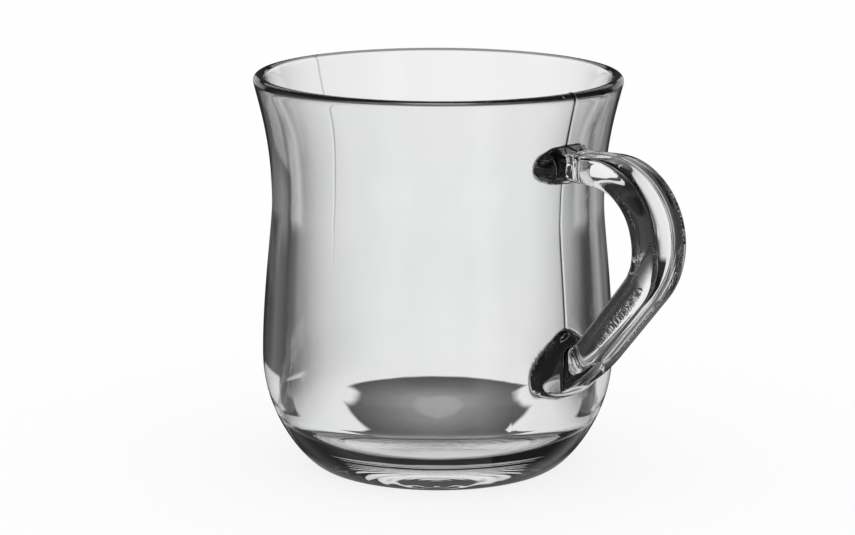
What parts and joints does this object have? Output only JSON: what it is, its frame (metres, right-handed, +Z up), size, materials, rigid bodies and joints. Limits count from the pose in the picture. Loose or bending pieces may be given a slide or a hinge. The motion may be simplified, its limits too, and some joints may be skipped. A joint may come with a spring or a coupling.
{
  "type": "glass mug",
  "caption": "Clear glass tea mug with a flared fire-polished lip, a gently waisted tulip bowl, a thick rounded base and a strap handle fused on at two pads.",
  "frame": {"origin": "on the bowl's axis, in the plane that the foot ring rests on", "axes": "+Z up along the bowl's axis, +X from the axis towards the handle, +Y across the handle"},
  "size_m": [0.1059, 0.0792, 0.085],
  "materials": {
    "clear_glass": "fire-polished, clear and colourless"
  },
  "bodies": {
    "root": {"bowl": "clear_glass", "handle": "clear_glass"}
  },
  "joints": []
}
